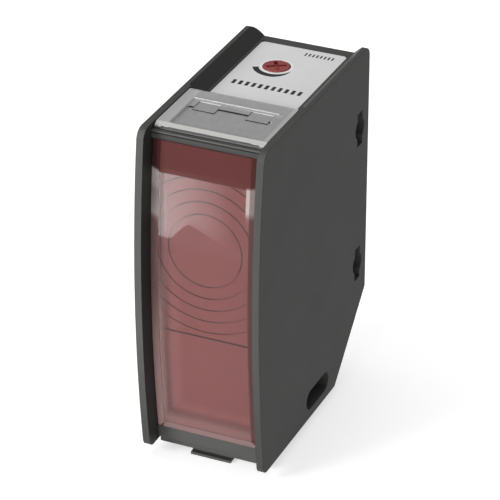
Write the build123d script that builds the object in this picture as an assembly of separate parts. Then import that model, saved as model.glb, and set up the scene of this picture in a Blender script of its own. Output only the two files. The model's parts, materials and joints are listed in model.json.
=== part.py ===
from build123d import *
import os
from math import sqrt

# Block-type photoelectric sensor: a curved red window between two cheek plates, a clear indicator lid
# and a sensitivity adjuster on top, and a 45 degree rear-bottom face that carries an M12 plug.
# Working coordinates, in millimetres: X across the housing from its mid-plane, Y from the front of the
# cheek plates to the rear, Z from the plates' bottom edge. save() moves every piece to the part's frame.

# Housing
WIDTH = 27.2
DEPTH = 56.4
HEIGHT = 73.3
CHEEK = 1.57                       # thickness of a cheek plate
HALF = WIDTH / 2
BAY = HALF - CHEEK                 # half of the clear width between the plates
CORNER_Y = 40.06                   # where the bottom edge turns into the 45 degree face
CORNER_Z = DEPTH - CORNER_Y        # where that face meets the rear edge
FRONT_RADIUS = 266.8               # the front edges are one long arc
ARC_Z = 37.04                      # height of the arc's centre
DECK_Z = 70.9                      # top deck, a little below the plates' tops
DECK_THICK = 2.0
DECK_FRONT_Y = 22.1
RAMP_IN = 10.1                     # the deck meets the plates in two ramps
RAMP_OUT = 12.6
RAMP_FRONT_Y = 24.4
WALL = 2.0
PLUG_RECESS = 3.0                  # the 45 degree wall lies this deep between the plates
EDGE_ROUND = 0.15

# Mounting features
BORE_Y = 51.6
BORE_Z = (24.2, 56.2)
SLEEVE_IN = 2.4                    # clearance hole for an M4 screw
SLEEVE_OUT = 3.4
SLEEVE_HALF = 10.0
MOUTH_RADIUS = 2.4                 # bore mouth in the plates, with an upright slot across it
MOUTH_SLOT = (2.75, 7.6)
SLOT_Y = 30.5
SLOT_Z = 4.4
SLOT_LONG = 11.85
SLOT_HIGH = 4.55
TUNNEL_Y = (22.9, 37.6)
TUNNEL_TOP = 8.0

# Front unit: Y values are at the arc's middle, and every front layer is concentric with the arc
UNIT_HALF = 11.95
TOP_BAR_Y = 3.4                    # face of the bezel's upper bar
LOW_BAR_Y = 4.0                    # face of its lower bar
BASE_Y = 4.3                       # the window's side edges
PAD_Y = 3.0                        # raised face of the window
PAD_HALF = 9.7
CREASE_Z = 5.7                     # where the pad ends above the lower bar
WINDOW_BACK_Y = 6.3
GASKET_BACK_Y = 6.6
WINDOW_Z = (3.6, 70.4)
BEZEL_Z = (0.6, 72.05)
BEZEL_STEP = (6.6, 71.4)           # behind this the bezel is lower, under the tray
BEZEL_BACK = 10.5
OPENING_HALF = 9.8
OPENING_Z = (5.4, 66.9)
PANE_Y = 4.1                       # the lenses lie in a pocket behind a pane this far back
POCKET_HALF = 10.6
LENS_Y = (4.15, 6.25)
LENS_HALF = 10.4
LENS_SPLIT_Z = 28.4
LENS_GAP = 0.25
RING_Z = 48.2                      # optical axis of the receiver
RING_TOP = 63.1                    # the steps stop at the lens's plain upper rim
EMITTER_Z = 16.4                   # optical axis of the emitter
RING_RADII = (7.95, 10.6, 13.2, 15.85, 18.45)
RING_WIDTH = 0.24
RING_DEPTH = 0.4

# Lid bay
LID_Y = (6.9, 23.1)                # front edge, hinge axis
LID_TOP = 73.2
LID_AXIS_Z = 72.2
LID_KNUCKLE = 1.0
LID_HALF = 11.8
LID_RIM_Z = 72.62
LID_PANEL = (9.15, 20.0, 72.75)    # sunk panel: half width, rear end, level
LID_LEDGE_Z = 73.1                 # ledge that crosses the panel's rear part
LID_LENS_X = ((-7.65, -2.95), (3.7, 8.4))
LID_LENS_Y = (15.4, 18.95)
LID_LENS_Z = 72.95                 # the two light windows, set into the ledge
TRAY_Z = (71.95, 72.25)
TRAY_TUB_Y = (10.9, 21.9)
TRAY_FLOOR_Z = 70.2
LID_PIN = 0.5
RUNNING = 0.05                     # radial clearance of a piece that turns
GUIDE_X = (-6.0, 6.0)              # one light guide each side of the mid-plane
GUIDE_HALF = (2.3, 1.2)
GUIDE_Y = (16.0, 18.4)
SWITCH_WINDOW_X = (-2.6, 2.6)
SWITCH_WINDOW_Y = (13.0, 15.4)
INDICATOR_BOARD_Z = (65.0, 65.8)

# Sensitivity adjuster
KNOB_X = -2.0
KNOB_Y = 44.1
KNOB_RADIUS = 2.8
KNOB_TOP = 70.9
KNOB_BOTTOM = 69.8
CROSS_DEPTH = 0.5
STEM_RADIUS = 1.85
STEM_BOTTOM = 64.4
POCKET_DEPTH = 0.35
LABEL_HALF = 9.55
LABEL_Y = (24.7, 54.1)

# Circuit boards
BOARD_Y = (30.6, 32.2)             # optics board, upright behind the lenses
BOARD_Z = (9.2, 64.0)
MAIN_X = (-9.6, -8.0)              # main board, along the left wall
MAIN_Y = (34.6, 46.8)
MAIN_Z = (21.5, 61.8)
TOP_BOARD_Z = (58.6, 59.8)         # board under the adjuster

# Plug on the 45 degree wall, along its own axis from the wall's outer face
PLUG_RADIUS = 6.0
PLUG_LENGTH = 8.5
PLUG_FLANGE = (8.0, 0.4, 1.6)      # radius, start, end
PLUG_SOCKET = 4.3
PLUG_NECK = 5.2

# Bottom cover and its tab
COVER_Z = (-0.95, 0.45)
COVER_Y = (7.4, 22.7)
TAB_X = (-4.85, 4.1)
TAB_BOTTOM = -2.2

# Origin of the part's frame: the middle of the footprint, at the lowest point
ORIGIN_Y = DEPTH / 2
ORIGIN_Z = TAB_BOTTOM

ARC_Y = FRONT_RADIUS               # Y of the arc's centre, with the plates' front at Y = 0
BIG = 100.0


def save(node, shape):
    """Write one node's solids in the part's frame."""
    export_step(Pos(0, -ORIGIN_Y, -ORIGIN_Z) * shape, f"parts/{node}.step")


def block(x, y, z):
    """A box from three (low, high) pairs."""
    size = Box(x[1] - x[0], y[1] - y[0], z[1] - z[0])
    return Pos((x[0] + x[1]) / 2, (y[0] + y[1]) / 2, (z[0] + z[1]) / 2) * size


def both(half):
    return (-half, half)


def side_prism(face, x):
    """Extrude a face drawn in (Y, Z) from x[0] to x[1]."""
    return Pos(x[0], 0, 0) * extrude(Plane.YZ * face, x[1] - x[0])


def polygon(*points):
    return make_face(Polyline(*points, close=True))


def upright(x, y, radius, z):
    """A vertical cylinder between two heights."""
    return Pos(x, y, (z[0] + z[1]) / 2) * Cylinder(radius, z[1] - z[0])


def arc_y(layer, z):
    """Y of the concentric layer that is at Y = layer in the arc's middle."""
    return ARC_Y - sqrt((ARC_Y - layer) ** 2 - (z - ARC_Z) ** 2)


def arc_edge(layer, z):
    """The layer's edge in (Y, Z) between two heights."""
    points = [(arc_y(layer, height), height) for height in (z[0], (z[0] + z[1]) / 2, z[1])]
    return ThreePointArc(*points)


def layer_slab(front, back, half, z):
    """A curved sheet between two concentric layers."""
    ends = [Line((arc_y(front, height), height), (arc_y(back, height), height)) for height in z]
    face = make_face(arc_edge(front, z) + arc_edge(back, z) + ends[0] + ends[1])
    return side_prism(face, both(half))


def nearest_vertex(face, y, z):
    return face.vertices().sort_by_distance((y, z))[0]


def cheek_outline():
    """Side view of the housing: curved front edge, 45 degree face at the rear bottom."""
    corners = [(arc_y(0, 0), 0), (CORNER_Y, 0), (DEPTH, CORNER_Z), (DEPTH, HEIGHT)]
    corners += [(arc_y(0, HEIGHT), HEIGHT)]
    face = make_face(Polyline(*corners) + arc_edge(0, (0, HEIGHT)))
    for (y, z), radius in zip(corners, (2.0, 0.8, 0.8, 2.2, 2.6)):
        face = fillet(nearest_vertex(face, y, z), radius)
    return face


def bore_mouth(z):
    """The bore's mouth through both plates: a circle with an upright slot across it."""
    face = Pos(BORE_Y, z) * (Circle(MOUTH_RADIUS) + Rectangle(*MOUTH_SLOT))
    return side_prism(face, both(HALF + 1))


def housing_shell():
    envelope = side_prism(cheek_outline(), both(HALF))
    rims = envelope.edges().filter_by_position(Axis.X, HALF - 0.01, HALF + 0.01)
    rims += envelope.edges().filter_by_position(Axis.X, -HALF - 0.01, -HALF + 0.01)
    shell = fillet(rims, EDGE_ROUND)
    # The wall of the 45 degree face runs along z = y - offset, so its two faces are two such lines.
    outer = CORNER_Y - PLUG_RECESS * sqrt(2)
    inner = outer - WALL * sqrt(2)
    rear = DEPTH - WALL
    cavity = polygon(
        (-5, -5), (TUNNEL_Y[0], -5), (TUNNEL_Y[0], TUNNEL_TOP), (TUNNEL_Y[1], TUNNEL_TOP),
        (TUNNEL_Y[1], TUNNEL_Y[1] - inner), (rear, rear - inner), (rear, DECK_Z - DECK_THICK),
        (DECK_FRONT_Y, DECK_Z - DECK_THICK), (DECK_FRONT_Y, HEIGHT + 5), (-5, HEIGHT + 5))
    shell -= side_prism(cavity, both(BAY))
    recess = polygon((outer - 5, -5), (DEPTH + 5, -5), (DEPTH + 5, DEPTH + 5 - outer))
    shell -= side_prism(recess, both(BAY))
    # Top channel with a ramp up to each plate.
    rise = (HEIGHT - DECK_Z) / (RAMP_OUT - RAMP_IN)
    top = HEIGHT + 1
    spread = RAMP_IN + (top - DECK_Z) / rise
    channel = polygon((-RAMP_IN, DECK_Z), (RAMP_IN, DECK_Z), (spread, top), (-spread, top))
    shell -= Pos(0, DEPTH + 1, 0) * extrude(Plane.XZ * channel, DEPTH + 1 - RAMP_FRONT_Y)
    shell -= block(both(BAY), (DECK_FRONT_Y, RAMP_FRONT_Y), (DECK_Z, top))
    shell -= block(both(LABEL_HALF + 0.1), (LABEL_Y[0] - 0.1, LABEL_Y[1] + 0.1), (DECK_Z - POCKET_DEPTH, top))
    # Bosses for the mounting sleeves.
    for z in BORE_Z:
        shell += block(both(BAY), (BORE_Y - 4.2, rear + 0.5), (z - 5.2, z + 5.2))
        shell -= bore_mouth(z) - block(both(SLEEVE_HALF), (0, DEPTH), (0, HEIGHT))
        shell -= Pos(0, BORE_Y, z) * Rot(0, 90, 0) * Cylinder(SLEEVE_OUT, 2 * SLEEVE_HALF)
    shell -= side_prism(Pos(SLOT_Y, SLOT_Z) * SlotOverall(SLOT_LONG, SLOT_HIGH), both(HALF + 1))
    # Rails for the optics board, posts for the adjuster's board.
    for x in ((-BAY - 0.1, 2 - BAY), (BAY - 2, BAY + 0.1)):
        for y in (BOARD_Y[0] - 1.05, BOARD_Y[1] + 0.05):
            shell += block(x, (y, y + 1), (12, 62))
    for x, y in ((-6.4, 38.2), (6.8, 38.2), (6.8, 45.4)):
        shell += upright(x, y, 0.9, (TOP_BOARD_Z[1], DECK_Z - DECK_THICK + 0.1))
    # Collar that guides the adjuster.
    shell += upright(KNOB_X, KNOB_Y, KNOB_RADIUS + 2, (STEM_BOTTOM + 1, DECK_Z - DECK_THICK + 0.1))
    shell -= upright(KNOB_X, KNOB_Y, KNOB_RADIUS + RUNNING, (STEM_BOTTOM, top))
    shell -= plug_plane() * Pos(0, 0, -WALL / 2) * Cylinder(PLUG_NECK + 0.1, WALL + 1)
    shell -= Pos(0, LID_Y[1], LID_AXIS_Z) * Rot(0, 90, 0) * Cylinder(LID_PIN, 2 * (BAY + 0.8))
    return shell


def front_bezel():
    """Top and bottom bars joined by two rails behind the window."""
    low, top = BEZEL_Z
    middle = (WINDOW_Z[0] + WINDOW_Z[1]) / 2
    step_y, step_z = BEZEL_STEP
    front = (
        arc_edge(LOW_BAR_Y, (low, middle))
        + Line((arc_y(LOW_BAR_Y, middle), middle), (arc_y(TOP_BAR_Y, middle), middle))
        + arc_edge(TOP_BAR_Y, (middle, top)))
    rear = [(arc_y(TOP_BAR_Y, top), top), (step_y, top), (step_y, step_z), (BEZEL_BACK, step_z)]
    rear += [(BEZEL_BACK, low), (arc_y(LOW_BAR_Y, low), low)]
    bezel = side_prism(make_face(Polyline(*rear) + front), both(UNIT_HALF))
    edges = bezel.edges().filter_by(Axis.X)
    bezel = fillet([edges.sort_by_distance((0, *point))[0] for point in (rear[0], rear[-1])], 0.25)
    seat = (WINDOW_Z[0] - 0.05, WINDOW_Z[1] + 0.05)
    bezel -= layer_slab(BASE_Y - 3, GASKET_BACK_Y, UNIT_HALF + 1, seat)
    return bezel - block(both(OPENING_HALF), (0, BEZEL_BACK + 1), OPENING_Z)


def front_window():
    """Curved window: a raised flat pad with a bevel down each side and along the bottom."""
    section = polygon(
        (-UNIT_HALF, BASE_Y), (-PAD_HALF, PAD_Y), (PAD_HALF, PAD_Y), (UNIT_HALF, BASE_Y),
        (UNIT_HALF, WINDOW_BACK_Y), (-UNIT_HALF, WINDOW_BACK_Y))
    axis = Axis((0, ARC_Y, ARC_Z), (1, 0, 0))
    sweep = 18
    start = (Pos(0, 0, ARC_Z) * section).rotate(axis, -sweep / 2)
    window = revolve(start, axis, sweep)
    window &= block(both(BAY), (0, 20), WINDOW_Z)
    # Bevel above the lower bar, from the pad's crease down to the bar's face.
    crease = (arc_y(PAD_Y, CREASE_Z), CREASE_Z)
    foot = (arc_y(LOW_BAR_Y, WINDOW_Z[0]), WINDOW_Z[0])
    wedge = polygon(crease, foot, (foot[0], foot[1] - 2), (-5, foot[1] - 2), (-5, CREASE_Z))
    pocket = layer_slab(PANE_Y, WINDOW_BACK_Y + 1, POCKET_HALF, (OPENING_Z[0] - 0.1, OPENING_Z[1] + 0.1))
    return window - side_prism(wedge, both(BAY)) - pocket


def window_gasket():
    ring = layer_slab(WINDOW_BACK_Y, GASKET_BACK_Y, UNIT_HALF - 0.3, (WINDOW_Z[0] + 0.3, WINDOW_Z[1] - 0.3))
    return ring - block(both(OPENING_HALF + 0.3), (0, 20), (OPENING_Z[0] - 0.3, OPENING_Z[1] + 0.3))


def receiver_lens():
    """Stepped lens: concentric grooves in the front face, round the optical axis."""
    z = (LENS_SPLIT_Z + LENS_GAP / 2, OPENING_Z[1] - 0.3)
    lens = layer_slab(*LENS_Y, LENS_HALF, z)
    skin = layer_slab(LENS_Y[0] - 1, LENS_Y[0] + RING_DEPTH, LENS_HALF + 1, (z[0] - 1, RING_TOP))
    for radius in RING_RADII:
        ring = Circle(radius + RING_WIDTH / 2) - Circle(radius - RING_WIDTH / 2)
        tube = extrude(Plane.XZ * (Pos(0, RING_Z) * ring), -20)
        lens -= tube & skin
    return lens


def emitter_lens():
    """Plain window-side face with a collimating dome at the back."""
    z = (OPENING_Z[0] + 0.3, LENS_SPLIT_Z - LENS_GAP / 2)
    lens = layer_slab(*LENS_Y, LENS_HALF, z)
    ball = Pos(0, LENS_Y[1] - 12, EMITTER_Z) * Sphere(15.5)
    return lens + (ball & layer_slab(LENS_Y[1] - 0.2, 14, 8.7, (z[0] + 0.5, z[1] - 1.4)))


def optics_carrier():
    """Black frame behind the bezel, with a collar that backs the lenses and an aperture for each."""
    z = (OPENING_Z[0] + 0.3, OPENING_Z[1] - 0.3)
    frame = block(both(11.4), (BEZEL_BACK + 0.1, BEZEL_BACK + 2.1), (2.9, 66.6))
    collar = layer_slab(LENS_Y[1] + 0.05, 14, OPENING_HALF - 0.2, z)
    frame += collar & block(both(BAY), (0, BEZEL_BACK + 0.2), z)
    for aperture in ((5.9, 26.6), (29.4, 64.3)):
        frame -= block(both(8.9), (0, 20), aperture)
    return frame


def light_shroud(z, rear_z, rear_half, rear_y):
    """Tapered light tube from a lens aperture to the component behind it."""
    wall = 1.0
    front_at = Pos(0, BEZEL_BACK + 2.2, (z[0] + z[1]) / 2)
    rear_at = Pos(0, rear_y, rear_z)
    tubes = []
    for inset in (0, 2 * wall):
        front = Plane.XZ * Rectangle(20.4 - inset, z[1] - z[0] - inset)
        rear = Plane.XZ * Rectangle(2 * rear_half - inset, 2 * rear_half - inset)
        tubes.append(loft([front_at * front, rear_at * rear]))
    return tubes[0] - tubes[1]


def emitter_led():
    """Round 5 mm diode with a domed lens and two leads."""
    body = Cylinder(2.5, 5, align=(Align.CENTER, Align.CENTER, Align.MIN))
    dome = Pos(0, 0, 5) * (Sphere(2.5) & Pos(0, 0, 2) * Box(6, 6, 4))
    rim = Cylinder(2.9, 1, align=(Align.CENTER, Align.CENTER, Align.MIN))
    leads = Part()
    for x in (-1.27, 1.27):
        leads += Pos(x, 0, -1.8) * Box(0.5, 0.5, 3.6)
    seat = Plane((0, BOARD_Y[0] - 0.3, EMITTER_Z), x_dir=(1, 0, 0), z_dir=(0, -1, 0))
    return seat * (body + dome + rim + leads)


def optics_board():
    board = block(both(10.6), BOARD_Y, BOARD_Z)
    for x in (-1.27, 1.27):
        board -= block((x - 0.3, x + 0.3), BOARD_Y, (EMITTER_Z - 0.3, EMITTER_Z + 0.3))
    return board


def receiver_photodiode():
    """Flat package with a raised window over the chip."""
    package = block(both(2.6), (BOARD_Y[0] - 1.6, BOARD_Y[0]), (RING_Z - 2.6, RING_Z + 2.6))
    return package + block(both(1.5), (BOARD_Y[0] - 1.8, BOARD_Y[0] - 1.5), (RING_Z - 1.5, RING_Z + 1.5))


def board_header():
    """Row of right-angle contacts from the optics board to the main board."""
    return block((MAIN_X[1], MAIN_X[1] + 2.4), (BOARD_Y[1], MAIN_Y[0] + 1.3), (40.0, 58.0))


def controller_chip():
    chip = block((MAIN_X[1], MAIN_X[1] + 1.5), (37.0, 45.0), (31.0, 39.0))
    legs = block((MAIN_X[1], MAIN_X[1] + 0.4), (36.0, 46.0), (31.6, 38.4))
    return chip + legs


def supply_capacitor():
    can = Pos(MAIN_X[1] + 5.5, 41.0, 46.0) * Rot(0, 90, 0) * Cylinder(3.6, 11)
    return fillet(can.edges().sort_by(Axis.X)[-1], 0.5)


def output_driver():
    return block((MAIN_X[1], MAIN_X[1] + 2.0), (37.2, 44.2), (23.0, 28.0))


def adjuster_board():
    return block((-7.6, 8.0), (37.0, 47.0), TOP_BOARD_Z)


def potentiometer_body():
    """Square case, open on top for its rotor."""
    top = STEM_BOTTOM - 0.4
    case = block((KNOB_X - 3.6, KNOB_X + 3.6), (KNOB_Y - 3.6, KNOB_Y + 2.8), (TOP_BOARD_Z[1], top))
    return case - upright(KNOB_X, KNOB_Y, 2.3, (TOP_BOARD_Z[1] + 1.2, top + 1))


def potentiometer_rotor():
    """Turning disc with the wiper, slotted for the adjuster's blade."""
    disc = upright(KNOB_X, KNOB_Y, 2.22, (TOP_BOARD_Z[1] + 1.4, STEM_BOTTOM - 0.2))
    slot = Pos(KNOB_X, KNOB_Y, STEM_BOTTOM - 0.8) * Box(2.84, 0.84, 1.6)
    return disc - slot


def sensitivity_adjuster():
    """Round head with a cross recess, a stem with a ring groove and a driving blade."""
    head = upright(KNOB_X, KNOB_Y, KNOB_RADIUS, (KNOB_BOTTOM, KNOB_TOP))
    head = fillet(head.edges().sort_by(Axis.Z)[-1], 0.25)
    for width, length in ((0.8, 4.2), (4.2, 0.8)):
        head -= Pos(KNOB_X, KNOB_Y, KNOB_TOP) * Rot(0, 0, 30) * Box(width, length, 2 * CROSS_DEPTH)
    stem = upright(KNOB_X, KNOB_Y, STEM_RADIUS, (STEM_BOTTOM, KNOB_BOTTOM))
    stem += upright(KNOB_X, KNOB_Y, KNOB_RADIUS, (STEM_BOTTOM + 1.2, STEM_BOTTOM + 3.4))
    blade = Pos(KNOB_X, KNOB_Y, STEM_BOTTOM - 0.7) * Box(2.8, 0.8, 1.4)
    return head + stem + blade


def adjuster_o_ring():
    return Pos(KNOB_X, KNOB_Y, 68.9) * Torus(STEM_RADIUS + 0.49, 0.49)


def label_plate():
    """Thin printed plate with rounded corners and a hole for the adjuster."""
    size = (2 * LABEL_HALF, LABEL_Y[1] - LABEL_Y[0])
    face = RectangleRounded(*size, 0.9)
    plate = Pos(0, (LABEL_Y[0] + LABEL_Y[1]) / 2, DECK_Z - POCKET_DEPTH) * extrude(face, 0.2)
    return plate - upright(KNOB_X, KNOB_Y, KNOB_RADIUS + 0.15, (60, 80))


def indicator_tray():
    """Flange under the lid with a shallow tub for the light guides and the mode switch."""
    tray = block(both(UNIT_HALF), (LID_Y[0] + 0.05, TRAY_TUB_Y[1]), TRAY_Z)
    tray += block(both(11.2), TRAY_TUB_Y, (67.4, TRAY_Z[0] + 0.1))
    tray -= block(both(10.3), (TRAY_TUB_Y[0] + 0.9, TRAY_TUB_Y[1] - 0.9), (TRAY_FLOOR_Z, 80))
    for x in GUIDE_X:
        tray -= block((x - GUIDE_HALF[0], x + GUIDE_HALF[0]), GUIDE_Y, (60, 80))
    tray -= block(both(10.3), (TRAY_TUB_Y[0] + 0.9, TRAY_TUB_Y[1] - 0.9), (60, TRAY_FLOOR_Z - 1.2))
    for x in (-8.9, 8.9):
        tray += upright(x, 19.8, 0.9, (INDICATOR_BOARD_Z[1], TRAY_FLOOR_Z - 1))
    return tray - block(SWITCH_WINDOW_X, SWITCH_WINDOW_Y, (60, 80))


def light_guide(x):
    """Clear post with a lens top, from the diode up to the tray's floor."""
    post = block((x - GUIDE_HALF[0], x + GUIDE_HALF[0]), GUIDE_Y, (67.2, TRAY_FLOOR_Z + 0.6))
    return fillet(post.edges().filter_by(Axis.X).sort_by(Axis.Z)[-2:], 0.4)


def status_led(x):
    base = block((x - 1.6, x + 1.6), (16.2, 18.2), (INDICATOR_BOARD_Z[1], INDICATOR_BOARD_Z[1] + 0.6))
    return base + upright(x, 17.2, 0.9, (INDICATOR_BOARD_Z[1] + 0.5, INDICATOR_BOARD_Z[1] + 1.1))


def indicator_board():
    return block(both(10.0), (12.9, 21.5), INDICATOR_BOARD_Z)


def mode_switch_body():
    """Case of the two-position slide switch, slotted on top."""
    case = block((-4.2, 4.2), (12.9, 15.5), (INDICATOR_BOARD_Z[1], 68.7))
    return case - block((-2.3, 2.3), (13.5, 14.9), (66.6, 70))


def mode_switch_slider():
    """Slider foot inside the case and the lever that stands out of it."""
    foot = block((-2.1, 0.1), (13.6, 14.8), (66.7, 68.5))
    lever = block((-1.8, -0.2), (13.7, 14.7), (68.4, 71.0))
    return foot + lever


def indicator_lid():
    """Clear cover: sunk panel with a ledge and two light windows, hinge barrel at the rear."""
    front, axis_y = LID_Y
    half, panel_end, panel_z = LID_PANEL
    section = polygon(
        (front, LID_RIM_Z), (front, LID_TOP - 0.5), (front + 0.95, LID_TOP),
        (axis_y, LID_TOP), (axis_y, LID_RIM_Z))
    lid = side_prism(section, both(LID_HALF))
    lid += block(both(9.9), (TRAY_TUB_Y[0] + 1.2, TRAY_TUB_Y[1] - 1.2), (72.0, LID_RIM_Z + 0.1))
    lid += block(both(9.9), (front + 1.3, TRAY_TUB_Y[0] + 1.3), (TRAY_Z[1] + 0.07, LID_RIM_Z + 0.1))
    for x in ((-LID_HALF, 1.3 - LID_HALF), (LID_HALF - 1.3, LID_HALF)):
        lid += block(x, (front, front + 1.4), (TRAY_Z[1] + 0.07, LID_RIM_Z + 0.1))
    lid += Pos(0, axis_y, LID_AXIS_Z) * Rot(0, 90, 0) * Cylinder(LID_KNUCKLE, 2 * LID_HALF)
    lid -= block(both(half), (front + 1.3, panel_end), (panel_z, LID_TOP + 1))
    ledge = block(both(half), (16.3, panel_end), (panel_z - 0.1, LID_LEDGE_Z))
    ledge -= block((LID_LENS_X[0][1], LID_LENS_X[1][0]), (16, 17.2), (panel_z, LID_TOP))
    for x in LID_LENS_X:
        ledge -= block(x, (16, LID_LENS_Y[1]), (panel_z, LID_TOP))
        ledge += block(x, LID_LENS_Y, (panel_z - 0.1, LID_LENS_Z))
    ledge += block(both(half), (panel_end - 0.25, panel_end), (LID_LEDGE_Z - 0.1, LID_TOP + 0.08))
    return lid + ledge - Pos(0, axis_y, LID_AXIS_Z) * Rot(0, 90, 0) * Cylinder(LID_PIN + RUNNING, BIG)


def lid_hinge_pin():
    return Pos(0, LID_Y[1], LID_AXIS_Z) * Rot(0, 90, 0) * Cylinder(LID_PIN, 2 * (BAY + 0.8))


def plug_plane():
    """Plane on the outer face of the 45 degree wall, Z pointing out of the housing."""
    middle = ((CORNER_Y + DEPTH) / 2, CORNER_Z / 2)
    inset = PLUG_RECESS / sqrt(2)
    return Plane((0, middle[0] - inset, middle[1] + inset), x_dir=(1, 0, 0), z_dir=(0, 1, -1))


def plug_ring(outer, inner, z):
    """A ring along the plug's axis between two heights."""
    ring = extrude(Circle(outer) - Circle(inner), z[1] - z[0])
    return Pos(0, 0, z[0]) * ring


def connector_body():
    radius, low, high = PLUG_FLANGE
    body = plug_ring(radius, PLUG_SOCKET, (low, high))
    thread = plug_ring(PLUG_RADIUS, PLUG_SOCKET, (high, PLUG_LENGTH))
    body += chamfer(thread.edges().sort_by(Axis.Z)[-1], 0.4)
    body += plug_ring(PLUG_NECK, PLUG_SOCKET, (-6.0, low))
    return plug_plane() * body


def plug_contacts(radius, z):
    """Four contact-sized cylinders on the plug's pitch circle."""
    return [loc * Cylinder(radius, z[1] - z[0], align=(Align.CENTER, Align.CENTER, Align.MIN))
            for loc in Pos(0, 0, z[0]) * PolarLocations(2.6, 4, 45)]


def connector_insert():
    insert = Pos(0, 0, -5.6) * extrude(Circle(PLUG_SOCKET), 7.4)
    insert += block((-0.5, 0.5), (3.3, PLUG_SOCKET - 0.2), (1.7, 7.6))
    for hole in plug_contacts(0.5, (-6, 2)):
        insert -= hole
    return plug_plane() * insert


def connector_pins():
    pins = Part()
    for pin in plug_contacts(0.5, (-7.6, 7.4)):
        pins += plug_plane() * pin
    return pins


def connector_seal():
    return plug_plane() * plug_ring(7.4, PLUG_NECK, (0, PLUG_FLANGE[1]))


def connector_nut():
    nut = extrude(RegularPolygon(6.5, 6, major_radius=False) - Circle(PLUG_NECK), 2.5)
    return plug_plane() * Pos(0, 0, -WALL - 2.5) * nut


def bottom_cover():
    """Floor under the optics with a raised rim inside and an L-shaped snap tab below its front edge."""
    cover = block(both(UNIT_HALF), COVER_Y, COVER_Z)
    rim = block(both(11.5), (BEZEL_BACK + 0.4, COVER_Y[1] - 0.3), (COVER_Z[1], 2.7))
    rim -= block(both(10.5), (BEZEL_BACK + 1.4, COVER_Y[1] - 1.3), (COVER_Z[1], 5))
    tab = block(TAB_X, (8.0, 9.2), (TAB_BOTTOM, COVER_Z[0]))
    lip = block(TAB_X, (6.95, 8.1), (TAB_BOTTOM, TAB_BOTTOM + 0.6))
    return cover + rim + tab + lip


def bottom_seal():
    """Flat ring round the cover's rim."""
    ring = block(both(11.85), (BEZEL_BACK + 0.1, COVER_Y[1] - 0.05), (COVER_Z[1], COVER_Z[1] + 0.4))
    return ring - block(both(11.5), (BEZEL_BACK + 0.4, COVER_Y[1] - 0.3), (0, 5))


def mounting_sleeve(z):
    face = Pos(BORE_Y, z) * (Circle(SLEEVE_OUT) - Circle(SLEEVE_IN))
    return side_prism(face, both(SLEEVE_HALF))


def main():
    os.makedirs("parts", exist_ok=True)
    save("housing_shell", housing_shell())
    save("front_bezel", front_bezel())
    save("front_window", front_window())
    save("window_gasket", window_gasket())
    save("receiver_lens", receiver_lens())
    save("emitter_lens", emitter_lens())
    save("optics_carrier", optics_carrier())
    save("receiver_shroud", light_shroud((28.6, 64.6), RING_Z, 4.2, 28.6))
    save("emitter_shroud", light_shroud((5.2, 27.4), EMITTER_Z, 3.9, 25.0))
    save("optics_board", optics_board())
    save("receiver_photodiode", receiver_photodiode())
    save("emitter_led", emitter_led())
    save("main_board", block(MAIN_X, MAIN_Y, MAIN_Z))
    save("board_header", board_header())
    save("controller_chip", controller_chip())
    save("supply_capacitor", supply_capacitor())
    save("output_driver", output_driver())
    save("adjuster_board", adjuster_board())
    save("potentiometer_body", potentiometer_body())
    save("potentiometer_rotor", potentiometer_rotor())
    save("sensitivity_adjuster", sensitivity_adjuster())
    save("adjuster_o_ring", adjuster_o_ring())
    save("label_plate", label_plate())
    save("indicator_tray", indicator_tray())
    save("indicator_lid", indicator_lid())
    save("lid_hinge_pin", lid_hinge_pin())
    save("output_light_guide", light_guide(GUIDE_X[0]))
    save("power_light_guide", light_guide(GUIDE_X[1]))
    save("output_led", status_led(GUIDE_X[0]))
    save("power_led", status_led(GUIDE_X[1]))
    save("indicator_board", indicator_board())
    save("mode_switch_body", mode_switch_body())
    save("mode_switch_slider", mode_switch_slider())
    save("connector_body", connector_body())
    save("connector_insert", connector_insert())
    save("connector_pins", connector_pins())
    save("connector_seal", connector_seal())
    save("connector_nut", connector_nut())
    save("bottom_cover", bottom_cover())
    save("bottom_seal", bottom_seal())
    save("lower_mounting_sleeve", mounting_sleeve(BORE_Z[0]))
    save("upper_mounting_sleeve", mounting_sleeve(BORE_Z[1]))


main()
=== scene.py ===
import json
import math

import bmesh
import bpy
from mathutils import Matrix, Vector


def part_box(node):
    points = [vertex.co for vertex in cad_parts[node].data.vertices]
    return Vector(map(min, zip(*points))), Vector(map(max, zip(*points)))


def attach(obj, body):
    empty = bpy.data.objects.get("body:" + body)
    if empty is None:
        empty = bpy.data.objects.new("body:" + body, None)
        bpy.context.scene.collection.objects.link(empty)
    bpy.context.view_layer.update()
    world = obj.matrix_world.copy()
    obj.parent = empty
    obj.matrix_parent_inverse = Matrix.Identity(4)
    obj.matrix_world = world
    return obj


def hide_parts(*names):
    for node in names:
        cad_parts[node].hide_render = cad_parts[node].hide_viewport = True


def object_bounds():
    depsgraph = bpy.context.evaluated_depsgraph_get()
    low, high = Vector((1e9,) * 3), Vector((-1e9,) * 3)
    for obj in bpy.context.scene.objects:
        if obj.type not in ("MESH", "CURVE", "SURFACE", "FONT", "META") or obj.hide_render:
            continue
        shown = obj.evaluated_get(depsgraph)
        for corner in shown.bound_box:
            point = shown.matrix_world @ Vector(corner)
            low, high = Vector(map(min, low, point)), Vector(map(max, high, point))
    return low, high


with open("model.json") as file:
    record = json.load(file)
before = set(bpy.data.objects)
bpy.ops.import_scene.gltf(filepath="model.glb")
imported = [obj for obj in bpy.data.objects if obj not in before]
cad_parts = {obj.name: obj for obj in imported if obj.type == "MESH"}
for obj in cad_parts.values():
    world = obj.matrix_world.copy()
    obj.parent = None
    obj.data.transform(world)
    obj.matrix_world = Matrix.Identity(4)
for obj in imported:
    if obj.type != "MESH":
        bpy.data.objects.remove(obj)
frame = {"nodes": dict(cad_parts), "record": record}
cad_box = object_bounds()
nodes = frame["nodes"]
MM = 0.001
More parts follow.
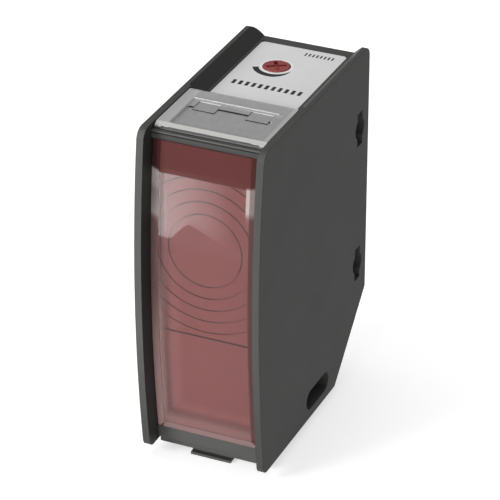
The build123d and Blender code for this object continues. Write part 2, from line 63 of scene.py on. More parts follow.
FRONT = -1.0                       # multiplies a Y so that it counts towards the front
LEFT = -1.0                        # multiplies an X so that it counts towards the left

# The front's faces follow arcs round one axis along X.
ARC_MIDDLE = 39.2 * MM             # height of the axis
ARC_AXIS_Y = 238.6 * MM
PLATE_RADIUS = 266.8 * MM          # the plates' front edges
PAD_RADIUS = 263.8 * MM            # the window's raised face
LENS_RADIUS = 262.65 * MM          # the lenses' front faces

HOUSING = (0.053, 0.0543, 0.0518)
HOUSING_GRAIN = 0.28 * MM
PLATE_EDGE = 1 * MM                # depth of the plates' front edges
EDGE_LIGHT_FROM = 18 * MM                # painted light on the plates' front edges starts round this height
EDGE_LIGHT_SOFT = 25 * MM
INNER_SHADE_X = -9 * MM                  # faces left of this that look to the right get painted shade
LOWER_BAR = 10 * MM                # the lower bar ends below this
# the painted shade line and the painted highlight line along the upper bar's step, as (height, colour)
BAR_LINES = ((73.6 * MM, (0.004, 0.004, 0.004)), (73.9 * MM, (0.13, 0.12, 0.115)))
BAR_LINE_WIDTH = 0.28 * MM

WINDOW = (0.10, 0.025, 0.024)
BORDER = (0.135, 0.044, 0.042)
BORDER_Z = 66.05 * MM              # the window is masked above this
SOFTBOX_Z = 56.5 * MM              # the left bevel's painted reflection is whitest above this
REFLECTION_WHITE = (1.0, 0.88, 0.86)
REFLECTION_RED = (0.95, 0.62, 0.59)
REFLECTION_RIGHT = (0.45, 0.36, 0.345)
REFLECTION_SPAN = 80 * MM                # height that the painted reflections' levels run over
# How strong each bevel's painted reflection of the softbox is, as (share of REFLECTION_SPAN from the
# bottom, level).
LEFT_REFLECTION = ((0.15, 1.0), (0.35, 0.85), (0.5, 0.55), (0.69, 0.55), (0.71, 1.0),
             (0.77, 0.75), (0.79, 1.0), (0.825, 1.0), (0.83, 0.0))
RIGHT_REFLECTION = ((0.3, 0.12), (0.745, 0.16), (0.765, 1.0), (0.825, 1.0), (0.83, 0.0))
PAD_EDGE = 9.7 * MM                # half of the raised face's width
RIM_X = 8.9 * MM                   # the right painted reflection reaches in to here
RIM_Z = 58 * MM
SHADOW_FILL_X = 8.7 * MM                  # painted light over the housing's shadow lies outside this, below SHADOW_FILL_Z
SHADOW_FILL_Z = 42 * MM
SHADOW_FILL = (0.30, 0.135, 0.128)
SILL_Z = 10.6 * MM                 # the same painted light lies along the window's foot
SILL_FILL = (0.23, 0.085, 0.08)
PAD_LINE = 9.62 * MM               # the painted shade line on the raised face's edge starts here
CREASE_Z = 8.0 * MM                # the painted shade line on the crease at its foot starts here
LINE_WIDTH = 0.2 * MM
LINE_SOFT = 0.06 * MM

LENS = (0.67, 0.198, 0.192)
LENS_PALE = (1.0, 0.42, 0.40)
LENS_RIM = 65.3 * MM               # the receiver lens is plain above this
RING_MIDDLE = 50.4 * MM            # height of the receiver's optical axis
RING_FIRST = 7.95 * MM             # radius of the smallest ring
RING_STEP = 2.625 * MM
RING_COUNT = 5
RING_GLARE = ((-1.36, -0.35), (2.25, 2.95))    # radians from +X where the rings fade
LINE_HALF = 0.12 * MM
SPLIT = 30.6 * MM                  # the two lenses meet here

LID_SHIFT = 0.8 * MM               # the thick middle's edges look shifted to one side
LID_MARGIN = 10.1 * MM             # the margins lie further out than this
LID_SIDE = 8.8 * MM                # walls further out than this are the side walls, which get a weaker painted highlight
LID_REAR = -9.7 * MM               # walls behind this are the rear walls of the lid's panel, which get a painted highlight

CAMERA = (0.21029, -0.47488, 0.32956)
LENS_MM = 208.5
LOOK_DOWN = 29.264                 # degrees
LOOK_ROUND = 23.976
CARD_Y = -0.125                    # the cards stand here, in front of the object
CARD_LEAST = 1.4                   # a fading card's glow ends at this level


# ---------------------------------------------------------------- materials

class Tree:
    """Short calls for building one material's nodes."""

    def __init__(self, name):
        self.mat = bpy.data.materials.new(name)
        self.mat.use_nodes = True
        self.tree = self.mat.node_tree
        self.shader = next(n for n in self.tree.nodes if n.type == "BSDF_PRINCIPLED")
        coords = self.add("ShaderNodeTexCoord")
        self.place = coords.outputs["Object"]
        self.facing = coords.outputs["Normal"]

    def add(self, kind, **values):
        node = self.tree.nodes.new(kind)
        for key, value in values.items():
            setattr(node, key, value)
        return node

    def link(self, source, target):
        self.tree.links.new(source, target)

    def feed(self, socket, value):
        if hasattr(value, "is_linked"):
            self.link(value, socket)
        else:
            socket.default_value = value

    def stretch(self, scale):
        node = self.add("ShaderNodeMapping")
        self.link(self.place, node.inputs["Vector"])
        node.inputs["Scale"].default_value = scale
        return node.outputs["Vector"]

    def noise(self, scale, detail=3.0, roughness=0.55, stretch=None):
        node = self.add("ShaderNodeTexNoise")
        self.link(self.stretch(stretch) if stretch else self.place, node.inputs["Vector"])
        node.inputs["Scale"].default_value = scale
        node.inputs["Detail"].default_value = detail
        node.inputs["Roughness"].default_value = roughness
        return node.outputs["Fac"]

    def ramp(self, value, *stops):
        node = self.add("ShaderNodeValToRGB")
        self.feed(node.inputs["Fac"], value)
        band = node.color_ramp
        while len(band.elements) < len(stops):
            band.elements.new(0.5)
        for element, (position, colour) in zip(band.elements, stops):
            element.position = position
            element.color = (*colour, 1)
        return node.outputs["Color"]

    def levels(self, value, stops):
        """A ramp of grey levels."""
        return self.ramp(value, *((position, (level, level, level)) for position, level in stops))

    def math(self, operation, a, b=0.0, clamp=False):
        node = self.add("ShaderNodeMath", operation=operation, use_clamp=clamp)
        self.feed(node.inputs[0], a)
        self.feed(node.inputs[1], b)
        return node.outputs["Value"]

    def product(self, first, *rest):
        for value in rest:
            first = self.math("MULTIPLY", first, value)
        return first

    def largest(self, first, *rest):
        for value in rest:
            first = self.math("MAXIMUM", first, value)
        return first

    def invert(self, value):
        return self.math("SUBTRACT", 1.0, value)

    def between(self, value, low, high):
        """Maps 0..1 to low..high."""
        return self.math("ADD", low, self.math("MULTIPLY", value, high - low))

    def spread(self, value, low, high):
        """Maps the middle half of 0..1, where noise lies, to low..high."""
        node = self.add("ShaderNodeMapRange")
        self.feed(node.inputs["Value"], value)
        node.inputs["From Min"].default_value = 0.25
        node.inputs["From Max"].default_value = 0.75
        node.inputs["To Min"].default_value = low
        node.inputs["To Max"].default_value = high
        return node.outputs["Result"]

    def blend(self, factor, a, b):
        node = self.add("ShaderNodeMix", data_type="RGBA")
        self.feed(node.inputs["Factor"], factor)
        sockets = [s for s in node.inputs if s.type == "RGBA"]
        for socket, value in zip(sockets, (a, b)):
            self.feed(socket, value if hasattr(value, "is_linked") else (*value, 1))
        return next(s for s in node.outputs if s.type == "RGBA")

    def bump(self, height, strength, distance=0.05 * MM, flat=False):
        """Bumps the surface; flat ignores smooth shading, which blotches large flat faces."""
        node = self.add("ShaderNodeBump")
        if flat:
            self.link(self.add("ShaderNodeNewGeometry").outputs["True Normal"], node.inputs["Normal"])
        node.inputs["Strength"].default_value = strength
        node.inputs["Distance"].default_value = distance
        self.link(height, node.inputs["Height"])
        self.link(node.outputs["Normal"], self.shader.inputs["Normal"])

    def axis(self, letter, vector=None):
        node = self.add("ShaderNodeSeparateXYZ")
        self.link(vector or self.place, node.inputs["Vector"])
        return node.outputs[letter]

    def above(self, value, edge, soft):
        """0 below the edge, 1 above it, with a soft step between."""
        node = self.add("ShaderNodeMapRange")
        self.feed(node.inputs["Value"], value)
        node.inputs["From Min"].default_value = edge - soft / 2
        node.inputs["From Max"].default_value = edge + soft / 2
        return node.outputs["Result"]

    def below(self, value, edge, soft):
        return self.invert(self.above(value, edge, soft))

    def stripe(self, value, start, width, soft):
        """1 from start on over the width, 0 elsewhere."""
        return self.math("SUBTRACT", self.above(value, start, soft), self.above(value, start + width, soft))

    def distance(self, a, b):
        return self.math("SQRT", self.math("ADD", self.product(a, a), self.product(b, b)))

    def arc_radius(self):
        """Distance from the axis that the front's faces are curved round."""
        rise = self.math("SUBTRACT", self.axis("Z"), ARC_MIDDLE)
        return self.distance(rise, self.math("SUBTRACT", self.axis("Y"), ARC_AXIS_Y))

    def gloss(self, level):
        self.shader.inputs["Specular IOR Level"].default_value = level

    def put(self, **values):
        for key, value in values.items():
            self.feed(self.shader.inputs[key.replace("_", " ")], value)
        return self.mat


def shade(colour, factor):
    return tuple(min(1.0, c * factor) for c in colour)


def moulded(name, colour, rough=0.5, grain=0.3 * MM, depth=0.25, vary=0.12, gloss=0.4):
    """Moulded plastic with a spark-eroded grain and faint flow marks."""
    t = Tree(name)
    grain_map = t.noise(1 / grain, 2.0, 0.6)
    cloud = t.noise(90, 3.0, 0.5)
    base = t.ramp(cloud, (0.3, shade(colour, 1 - vary)), (0.7, shade(colour, 1 + vary)))
    base = t.blend(t.spread(grain_map, 0.0, 0.18), base, shade(colour, 1.5))
    t.bump(grain_map, depth)
    t.gloss(gloss)
    return t.put(Base_Color=base, Roughness=t.spread(cloud, rough - 0.05, rough + 0.06))


def housing_material():
    """Dark grained plastic; painted light makes the plates' front edges paler, most of all the left one."""
    t = Tree("housing_grain")
    x = t.axis("X")
    z = t.axis("Z")
    sideways = t.axis("X", t.facing)
    grain_map = t.noise(1 / HOUSING_GRAIN, 2.0, 0.6)
    cloud = t.noise(90, 3.0, 0.5)
    base = t.ramp(cloud, (0.3, shade(HOUSING, 0.94)), (0.7, shade(HOUSING, 1.06)))
    base = t.blend(t.spread(grain_map, 0.0, 0.18), base, shade(HOUSING, 1.5))
    # Painted light: the plates' front edges are paler higher up, most of all on the left.
    edges = t.above(t.arc_radius(), PLATE_RADIUS - PLATE_EDGE, 0.3 * MM)
    front = t.below(t.math("ABSOLUTE", sideways), 0.5, 0.2)
    left = t.between(t.below(x, 0.0, 1 * MM), 0.5, 1.0)
    painted_light = t.product(edges, t.above(z, EDGE_LIGHT_FROM, EDGE_LIGHT_SOFT), front, left)
    base = t.blend(painted_light, base, shade(HOUSING, 1.7))
    # Painted shade darkens the left plate's inner face and the ramp beside it.
    inner = t.product(t.above(sideways, 0.3, 0.2), t.below(x, INNER_SHADE_X, 0.2 * MM))
    base = t.blend(inner, base, shade(HOUSING, 0.6))
    # Painted light makes the upper bar a little paler than the plates, and the lower bar more so.
    bars = t.product(t.above(t.product(t.axis("Y", t.facing), FRONT), 0.7, 0.2), t.invert(edges))
    bar_light = t.between(t.below(z, LOWER_BAR, 1 * MM), 0.45, 1.0)
    base = t.blend(t.product(bars, bar_light), base, shade(HOUSING, 1.6))
    # A painted shade line under a painted highlight line stands for the moulded step along the upper bar.
    for height, colour in BAR_LINES:
        line = t.product(t.stripe(z, height, BAR_LINE_WIDTH, 0.05 * MM), bars, 0.8)
        base = t.blend(line, base, colour)
    t.bump(grain_map, 0.22, flat=True)
    t.gloss(0.15)
    return t.put(Base_Color=base, Roughness=t.spread(cloud, 0.43, 0.54))


def clear(name, colour, alpha, rough):
    """Clear plastic seen as one thin layer: tinted, glossy, with faint waviness and dust."""
    t = Tree(name)
    dust = t.noise(2600, 2.0, 0.6)
    base = t.ramp(dust, (0.35, shade(colour, 0.92)), (0.75, shade(colour, 1.12)))
    t.bump(t.noise(120, 2.0, 0.5), 0.05, 0.2 * MM)
    t.gloss(0.8)
    return t.put(Base_Color=base, Roughness=t.spread(dust, rough, rough + 0.03), Alpha=alpha)


def metal(name, colour, rough=0.25, stretch=(1, 1, 1)):
    """Plated or turned metal with fine tool marks and small changes of polish."""
    t = Tree(name)
    marks = t.noise(900, 3.0, 0.6, stretch)
    cloud = t.noise(160, 3.0, 0.5)
    base = t.ramp(cloud, (0.3, shade(colour, 0.85)), (0.7, colour))
    t.bump(marks, 0.12, 0.02 * MM)
    return t.put(Base_Color=base, Metallic=1.0, Roughness=t.spread(marks, rough - 0.06, rough + 0.1))


def board(name):
    """Circuit board: green solder mask, lighter over a web of tracks."""
    t = Tree(name)
    cells = t.add("ShaderNodeTexVoronoi", distance="MANHATTAN", feature="DISTANCE_TO_EDGE")
    cells.inputs["Scale"].default_value = 420
    t.link(t.place, cells.inputs["Vector"])
    track = t.ramp(cells.outputs["Distance"], (0.1, (1, 1, 1)), (0.16, (0, 0, 0)))
    base = t.blend(track, (0.012, 0.09, 0.035), (0.03, 0.2, 0.07))
    t.bump(track, 0.4, 0.03 * MM)
    return t.put(Base_Color=base, Roughness=t.spread(t.noise(400), 0.25, 0.4))


def window_material():
    """Clear red window with a masked upper border and painted reflections on the bevels down its sides."""
    t = Tree("window_red")
    x = t.axis("X")
    z = t.axis("Z")
    leftward = t.product(x, LEFT)
    sideways = t.axis("X", t.facing)
    left_bevel = t.above(t.product(sideways, LEFT), 0.3, 0.2)
    right_bevel = t.above(sideways, 0.3, 0.2)
    height = t.math("DIVIDE", z, REFLECTION_SPAN)
    dust = t.noise(2600, 2.0, 0.6)
    base = t.ramp(dust, (0.35, shade(WINDOW, 0.94)), (0.75, shade(WINDOW, 1.1)))
    border = t.above(z, BORDER_Z, 0.1 * MM)
    base = t.blend(t.largest(right_bevel, border), base, BORDER)
    # The bevels carry a painted reflection of the softbox that they catch, so its strength changes with
    # height.
    rim = t.product(t.above(x, RIM_X, 0.3 * MM), t.above(z, RIM_Z, 2 * MM))
    right_reflection = t.product(t.levels(height, RIGHT_REFLECTION), t.largest(right_bevel, rim))
    base = t.blend(right_reflection, base, REFLECTION_RIGHT)
    # The left painted reflection is stronger further out, to offset the plate's shadow.
    outward = t.between(t.above(leftward, PAD_EDGE, 1.6 * MM), 0.35, 1.0)
    left_reflection = t.product(left_bevel, t.levels(height, LEFT_REFLECTION), outward)
    base = t.blend(left_reflection, base, t.blend(t.above(z, SOFTBOX_Z, 1 * MM), REFLECTION_RED, REFLECTION_WHITE))
    # Painted light evens out the shadow on the raised face's left edge and its foot.
    sill_fill = t.below(z, SILL_Z, 2.4 * MM)
    shadow_fill = t.product(t.above(leftward, SHADOW_FILL_X, 1.6 * MM), t.below(z, SHADOW_FILL_Z, 16 * MM))
    shadow_fill = t.product(t.largest(shadow_fill, sill_fill), t.invert(left_bevel))
    base = t.blend(shadow_fill, base, t.blend(sill_fill, SHADOW_FILL, SILL_FILL))
    # A fine line of painted shade follows the raised face's left edge and the crease at its foot.
    edge = t.stripe(leftward, PAD_LINE, LINE_WIDTH, LINE_SOFT)
    crease = t.stripe(z, CREASE_Z, LINE_WIDTH, LINE_SOFT)
    crease = t.product(crease, t.below(leftward, PAD_LINE + LINE_WIDTH, LINE_SOFT))
    line = t.product(t.largest(edge, crease), 0.6)
    base = t.blend(line, base, (0.03, 0.008, 0.008))
    solid = t.largest(border, right_bevel, left_reflection, right_reflection, t.product(shadow_fill, 0.75), line)
    t.gloss(1.0)
    return t.put(Base_Color=base, Roughness=t.spread(dust, 0.01, 0.025), Alpha=t.between(solid, 0.35, 0.9))


def ring_lines(t, x, z):
    """Dark lines of painted shade over the grooves, a little wider than those, and over the gap between the
    lenses.
    """
    groove = t.below(t.arc_radius(), LENS_RADIUS - 0.06 * MM, 0.04 * MM)
    up = t.math("SUBTRACT", z, RING_MIDDLE)
    away = t.distance(up, x)
    near = t.math("PINGPONG", t.math("SUBTRACT", away, RING_FIRST), RING_STEP / 2)
    last = RING_FIRST + (RING_COUNT - 0.5) * RING_STEP
    inside = t.product(t.above(away, RING_FIRST - 1 * MM, 0.1 * MM), t.below(away, last, 0.1 * MM),
                       t.above(z, SPLIT, 0.1 * MM), t.below(z, LENS_RIM, 0.1 * MM))
    ring = t.product(inside, t.below(near, LINE_HALF, 0.04 * MM))
    split = t.math("ABSOLUTE", t.math("SUBTRACT", z, SPLIT))
    split = t.below(split, 1.6 * LINE_HALF, 0.04 * MM)
    # The rings fade where glare would hide them, at the lower right and the upper left.
    angle = t.math("ARCTAN2", up, x)
    glares = []
    for start, end in RING_GLARE:
        glares.append(t.product(t.above(angle, start, 0.3), t.below(angle, end, 0.3)))
    glare = t.product(t.largest(*glares), t.above(z, SPLIT + 0.5 * MM, 0.2 * MM), 0.85)
    return t.product(t.largest(groove, ring, split), t.invert(glare))


def lens_material():
    """Red lens: the moulded steps round the optical axis are painted shade lines, the upper rim is plain.
    """
    t = Tree("lens_red")
    x = t.axis("X")
    z = t.axis("Z")
    leftward = t.product(x, LEFT)
    dust = t.noise(1500, 2.0)
    base = t.ramp(dust, (0.3, shade(LENS, 0.94)), (0.8, shade(LENS, 1.06)))
    # A paler colour offsets the housing's shadow on the lenses' left edge, where it widens lower down,
    # and on their foot.
    side = t.above(leftward, 8.9 * MM, 1.4 * MM)
    low_side = t.product(t.below(z, 40 * MM, 20 * MM), t.above(leftward, 6.8 * MM, 3.4 * MM))
    foot = t.product(t.below(z, 12.2 * MM, 4 * MM), 0.9)
    painted_light = t.largest(t.math("ADD", side, low_side, clamp=True), foot)
    base = t.blend(painted_light, base, LENS_PALE)
    base = t.blend(ring_lines(t, x, z), base, (0.004, 0.001, 0.001))
    base = t.blend(t.above(z, LENS_RIM, 0.1 * MM), base, shade(LENS, 0.8))
    t.bump(dust, 0.01)
    t.gloss(0.05)
    return t.put(Base_Color=base, Roughness=t.spread(dust, 0.4, 0.5))


def lid_material():
    """Clear lid: nearly solid chamfer, painted shade on the step walls, painted highlights on the rear and
    side walls, paler margins.
    """
    t = Tree("lid_clear")
    x = t.axis("X")
    up = t.axis("Z", t.facing)
    front = t.product(t.axis("Y", t.facing), FRONT)
    haze = t.noise(900, 3.0, 0.6, (1, 0.3, 1))
    base = t.ramp(haze, (0.3, (0.40, 0.40, 0.40)), (0.7, (0.45, 0.45, 0.45)))
    across = t.math("ABSOLUTE", t.math("SUBTRACT", x, LID_SHIFT))
    base = t.blend(t.above(across, LID_MARGIN, 0.5 * MM), base, (0.56, 0.56, 0.56))
    # Painted highlights on the rear and side walls, painted shade on the other step walls.
    rear = t.product(t.above(t.axis("Y"), LID_REAR, 0.1 * MM), t.above(front, 0.7, 0.2))
    sides = t.above(t.math("ABSOLUTE", x), LID_SIDE, 0.1 * MM)
    wall_highlight = t.largest(rear, t.product(sides, 0.7))
    wall = t.below(t.math("ABSOLUTE", up), 0.4, 0.2)
    base = t.blend(wall, base, t.blend(wall_highlight, (0.012, 0.011, 0.01), (0.95, 0.95, 0.95)))
    bevel = t.product(t.above(front, 0.35, 0.1), t.above(up, 0.7, 0.2))
    base = t.blend(bevel, base, (0.40, 0.395, 0.38))
    t.bump(haze, 0.06, 0.05 * MM)
    t.gloss(0.6)
    see = t.between(t.largest(wall, bevel), 0.58, 0.94)
    return t.put(Base_Color=base, Roughness=t.spread(haze, 0.08, 0.14), Alpha=see)


library = {
    "housing_plastic": housing_material(),
    "red_window": window_material(),
    "red_lens": lens_material(),
    "black_rubber": moulded("rubber_black", (0.018, 0.018, 0.018), 0.75, 0.2 * MM, 0.3),
    "black_plastic": moulded("plastic_black", (0.02, 0.02, 0.021), 0.55, 0.25 * MM, 0.3),
    "circuit_board": board("solder_mask"),
    "clear_plastic": clear("plastic_clear", (0.75, 0.77, 0.78), 0.45, 0.05),
    "smoke_clear_plastic": lid_material(),
    "capacitor_can": metal("can_aluminium", (0.6, 0.61, 0.63), 0.3),
    "white_plastic": moulded("plastic_white", (0.7, 0.7, 0.67), 0.4, 0.3 * MM, 0.15, 0.04),
    "red_plastic": moulded("plastic_red", (0.235, 0.04, 0.037), 0.42, 0.2 * MM, 0.15, 0.1),
    "label_film": moulded("label_film", (0.62, 0.62, 0.62), 0.42, 0.15 * MM, 0.06, 0.03),
    "grey_plastic": moulded("plastic_grey", (0.22, 0.22, 0.22), 0.45, 0.3 * MM, 0.2, 0.06),
    "steel": metal("steel_turned", (0.55, 0.55, 0.56), 0.3, (1, 6, 6)),
    "nickel_plated_metal": metal("nickel_plate", (0.66, 0.63, 0.58), 0.22),
    "gold_contact": metal("gold_plate", (0.9, 0.62, 0.25), 0.2),
}

slots = {row["node"]: row["material_slot"] for row in frame["record"]["subparts"]}
for name, obj in nodes.items():
    obj.data.materials.clear()
    obj.data.materials.append(library[slots[name]])


# ---------------------------------------------------------------- print and a painted light ring on the label

KNOB = (-2.0, 15.9)                # middle of the adjuster, mm
SKIN = 0.02                        # thickness of the print, mm
RING_BAND = (2.97, 3.5)            # radii of the painted light ring round the adjuster, mm
SCALE_RADII = (3.72, 4.95)         # radii of the turning scale's wide end, mm
SCALE_SWEEP = (205, 342)           # degrees
TAPER_FROM = 0.58                  # fraction of the sweep after which the scale narrows
TAPER = 1.2                        # how much it narrows, mm
# Rows of bars: count, left, right, low, high (mm), and the printed share of the pitch.
BAR_ROWS = ((11, -7.5, 8.4, 5.2, 7.0, 0.5), (8, 1.1, 7.9, 22.9, 24.2, 0.4))


def add_mesh(name, mesh):
    """Turns a bmesh into an object that rides on the housing."""
    bmesh.ops.recalc_face_normals(mesh, faces=mesh.faces)
    data = bpy.data.meshes.new(name)
    mesh.to_mesh(data)
    mesh.free()
    obj = bpy.data.objects.new(name, data)
    bpy.context.scene.collection.objects.link(obj)
    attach(obj, "housing")
    return obj


def sheet(name, outline, material):
    """A thin piece of print, or of painted light, lying on the label, drawn as an outline in mm."""
    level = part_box("label_plate")[1].z
    mesh = bmesh.new()
    rings = []
    for z in (level, level + SKIN * MM):
        rings.append([mesh.verts.new((x * MM, y * MM, z)) for x, y in outline])
    count = len(outline)
    for low, high in ((i, (i + 1) % count) for i in range(count)):
        mesh.faces.new((rings[0][low], rings[0][high], rings[1][high], rings[1][low]))
    mesh.faces.new(rings[1])
    mesh.faces.new(rings[0][::-1])
    obj = add_mesh(name, mesh)
    obj.data.materials.append(material)


def arc_band(inner, outer, start, end, steps):
    """Outline of a band round the adjuster; inner and outer give the radius along the sweep."""
    points = []
    for side, order in ((outer, range(steps + 1)), (inner, range(steps, -1, -1))):
        for i in order:
            angle = math.radians(start + (end - start) * i / steps)
            radius = side(i / steps)
            points.append((KNOB[0] + radius * math.cos(angle), KNOB[1] + radius * math.sin(angle)))
    return points


def scale_edge(along):
    """Outer radius of the turning scale at a fraction of its sweep."""
    return SCALE_RADII[1] - TAPER * max(0.0, along - TAPER_FROM) / (1 - TAPER_FROM)


def label_print():
    """Turning scale round the adjuster, a painted light ring round it, and plain bars where the label is
    printed.
    """
    ink = moulded("print_ink", (0.012, 0.012, 0.012), 0.5, 0.2 * MM, 0.05, 0.1)
    painted_light = moulded("label_light_ring", (0.74, 0.72, 0.71), 0.4, 0.2 * MM, 0.05, 0.02)
    # The ring is painted light: the label is paler there, where it lies out of the shadows.
    for half, start in enumerate((0, 180)):
        band = arc_band(lambda t: RING_BAND[0], lambda t: RING_BAND[1], start, start + 180, 32)
        sheet(f"adjuster_ring_{half}", band, painted_light)
    sheet("adjuster_scale", arc_band(lambda t: SCALE_RADII[0], scale_edge, *SCALE_SWEEP, 48), ink)
    for count, left, right, low, high, fill in BAR_ROWS:
        pitch = (right - left) / count
        for i in range(count):
            x = left + pitch * i
            end = x + pitch * fill
            sheet(f"print_bar_{count}_{i}", [(x, low), (end, low), (end, high), (x, high)], ink)


label_print()


# ---------------------------------------------------------------- threaded plug

PITCH = 1.0                        # M12 x 1, mm along the plug's axis
MAJOR = 6.0
THREAD_DEPTH = 0.55
RUN_OUT = 0.8                      # plain neck between flange and thread
CHAMFER = 0.5
MOUTH = 0.7                        # the mouth's chamfer reaches in this far
SOCKET = 4.3                       # radius inside the plug
NECK = 5.2                         # radius of the part behind the flange
FLANGE = (8.0, 0.4, 1.6)           # radius, start, end
FLANGE_ROUND = 0.15
PLUG_END = 8.5
NECK_END = -6.0
PLUG_MOUNT = 5.0                   # the mount named plug_thread is this far from the wall
AROUND = 64
ALONG = 70
SHARP = 32                         # edges that turn by more degrees than this stay sharp


def thread_radius(z, turn):
    """Radius of the thread at one height and one fraction of a turn, with its run-out and chamfer."""
    wave = abs(2 * ((z / PITCH - turn) % 1) - 1)
    depth = THREAD_DEPTH * min(1.0, max(0.0, (wave - 0.1) / 0.8))
    if z < FLANGE[2] + RUN_OUT:
        depth = THREAD_DEPTH
    return min(MAJOR - depth, MAJOR - 0.1 - max(0.0, z - PLUG_END + CHAMFER))


def plug_profile():
    """Half section of the plug's metal body as (height, radius); the thread's rows have no radius."""
    radius, low, high = FLANGE
    rows = [(NECK_END, SOCKET), (PLUG_END, SOCKET), (PLUG_END, MAJOR - MOUTH)]
    rows += [(PLUG_END - (PLUG_END - high) * i / ALONG, None) for i in range(ALONG + 1)]
    rows += [(high, radius - FLANGE_ROUND), (high - FLANGE_ROUND, radius)]
    rows += [(low + FLANGE_ROUND, radius), (low, radius - FLANGE_ROUND)]
    return rows + [(low, NECK), (NECK_END, NECK)]


def plug_with_thread():
    """The plug's metal body turned from one profile, with its helical thread."""
    mount = next(m for m in frame["record"]["mounts"] if m["name"] == "plug_thread")
    out = Vector(mount["axis"]).normalized()
    side = Vector((1, 0, 0))
    up = out.cross(side)
    foot = Vector(mount["pos_m"]) - out * PLUG_MOUNT * MM
    mesh = bmesh.new()
    grid = []
    for z, fixed in plug_profile():
        ring = []
        for j in range(AROUND):
            turn = j / AROUND
            r = fixed or thread_radius(z, turn)
            angle = 2 * math.pi * turn
            spot = out * z + side * r * math.cos(angle) + up * r * math.sin(angle)
            ring.append(mesh.verts.new(foot + spot * MM))
        grid.append(ring)
    for a, b in zip(grid, grid[1:] + grid[:1]):
        for j in range(AROUND):
            k = (j + 1) % AROUND
            mesh.faces.new((a[j], a[k], b[k], b[j]))
    obj = add_mesh("plug_thread", mesh)
    obj.data.shade_smooth()
    obj.data.set_sharp_from_angle(angle=math.radians(SHARP))
    obj.data.materials.append(library["nickel_plated_metal"])
    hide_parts("connector_body")


plug_with_thread()


# ---------------------------------------------------------------- floor, lights, camera

FLOOR_HALF = 4.0                   # half of the floor's side, m
FLOOR_DROP = 0.00002               # the floor lies this far below the object
FLAG_RISE = 0.5 * MM               # the floor flag lies this far above the floor
MIDDLE = (0, 0, 0.037)             # the overhead and rear lamps point here


def floor():
    """White paper that glows a little, so that shadows on it stay faint."""
    mesh = bpy.data.meshes.new("floor")
    half = FLOOR_HALF
    corners = [(-half, -half, 0), (half, -half, 0), (half, half, 0), (-half, half, 0)]
    mesh.from_pydata(corners, [], [(0, 1, 2, 3)])
    obj = bpy.data.objects.new("floor", mesh)
    bpy.context.scene.collection.objects.link(obj)
    obj.location.z = cad_box[0].z - FLOOR_DROP
    t = Tree("floor_paper")
    fibre = t.noise(900, 4.0)
    t.bump(fibre, 0.05, 0.1 * MM)
    t.shader.inputs["Emission Color"].default_value = (1, 1, 1, 1)
    t.shader.inputs["Emission Strength"].default_value = 0.6
    paper = t.levels(fibre, ((0.3, 0.62), (0.7, 0.66)))
    obj.data.materials.append(t.put(Base_Color=paper, Roughness=0.8))


def area(name, position, target, size, power):
    light = bpy.data.lights.new(name, "AREA")
    light.shape = "RECTANGLE"
    light.size, light.size_y = size
    light.energy = power
    obj = bpy.data.objects.new(name, light)
    obj.location = position
    obj.rotation_euler = (Vector(target) - Vector(position)).to_track_quat("-Z", "Y").to_euler()
    bpy.context.scene.collection.objects.link(obj)


def mirror_only(name, corners, left, right):
    """A glowing card seen only in reflections; its glow falls off from left to right."""
    mesh = bpy.data.meshes.new(name)
    mesh.from_pydata(corners, [], [tuple(range(len(corners)))])
    obj = bpy.data.objects.new(name, mesh)
    bpy.context.scene.collection.objects.link(obj)
    obj.visible_camera = obj.visible_diffuse = obj.visible_shadow = False
    obj.visible_transmission = obj.visible_volume_scatter = False
    t = Tree(name)
    across = t.add("ShaderNodeMapRange")
    t.link(t.axis("X"), across.inputs["Value"])
    across.inputs["From Min"].default_value = min(c[0] for c in corners)
    across.inputs["From Max"].default_value = max(c[0] for c in corners)
    across.inputs["To Min"].default_value = left
    across.inputs["To Max"].default_value = right
    emission = t.add("ShaderNodeEmission")
    glow = t.math("MAXIMUM", across.outputs["Result"], min(left, CARD_LEAST))
    t.link(glow, emission.inputs["Strength"])
    out = next(n for n in t.tree.nodes if n.type == "OUTPUT_MATERIAL")
    t.link(emission.outputs["Emission"], out.inputs["Surface"])
    obj.data.materials.append(t.mat)


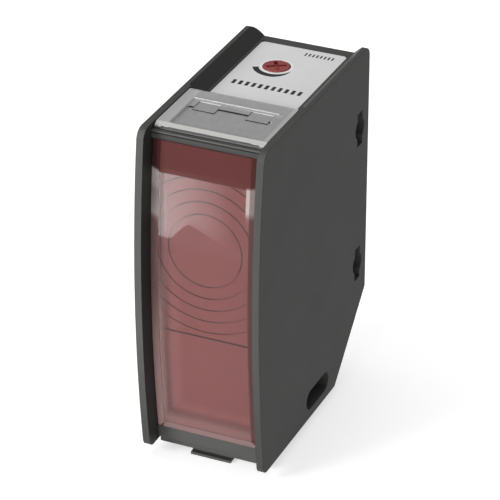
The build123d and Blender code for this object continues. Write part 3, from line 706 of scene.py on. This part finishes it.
def card(name, outline, left, right):
    """A card whose corners are the window spots (x, z) in which the camera sees them mirrored."""
    eye = Vector(CAMERA)
    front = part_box("front_window")[0].y
    corners = []
    for x, z in outline:
        rise = z * MM - ARC_MIDDLE
        tilt = rise / PAD_RADIUS
        spot = Vector((x * MM, front + rise * tilt / 2, z * MM))
        normal = Vector((0, -math.cos(tilt), math.sin(tilt)))
        ray = (spot - eye).normalized()
        ray -= 2 * ray.dot(normal) * normal
        corners.append(spot + ray * ((CARD_Y - spot.y) / ray.y))
    mirror_only(name, corners, left, right)


def reflections():
    """What the window mirrors, and a grey flag on the floor that the right plate mirrors."""
    top = BORDER_Z / MM
    edge = [(13, 52.4), (7.5, 52.3), (1.5, 54.4), (-2.8, 56.1), (-3.9, 55.8), (-7.1, 52.2), (-13, 52.8)]
    card("softbox_card", [(-13, top), (13, top)] + edge, 8.6, -1.5)
    card("room_card", [(-30, 82), (30, 82), (30, top), (-30, top)], 0.05, 0.05)
    card("set_card", [(13, -8), (-13, -8)] + edge[::-1], 1.8, 1.6)
    level = cad_box[0].z + FLAG_RISE
    near, far, front, back = cad_box[1].x + 0.1 * MM, 3.0, -1.0, 3.0
    flag = [(near, front, level), (far, front, level), (far, back, level), (near, back, level)]
    mirror_only("floor_flag", flag, 0.5, 0.5)


def stage():
    floor()
    area("key_overhead", (-0.15, 0.1, 1.0), MIDDLE, (0.9, 0.8), 4.4)
    area("fill_right_rear", (0.75, 0.5, 0.45), MIDDLE, (0.6, 0.6), 0.75)
    area("front_softbox", (-0.5, -0.62, 0.4), (0, -0.02, 0.06), (0.35, 0.3), 5.8)
    reflections()
    world = bpy.data.worlds.new("studio")
    world.use_nodes = True
    background = world.node_tree.nodes["Background"]
    background.inputs["Color"].default_value = (1, 1, 1, 1)
    background.inputs["Strength"].default_value = 0.3
    bpy.context.scene.world = world
    bpy.context.scene.view_settings.view_transform = "Standard"


def camera():
    data = bpy.data.cameras.new("camera")
    data.sensor_width = 36
    data.lens = LENS_MM
    data.clip_start = 0.01
    obj = bpy.data.objects.new("camera", data)
    obj.location = CAMERA
    obj.rotation_euler = (math.radians(90 - LOOK_DOWN), 0, math.radians(LOOK_ROUND))
    bpy.context.scene.collection.objects.link(obj)
    bpy.context.scene.camera = obj


stage()
camera()
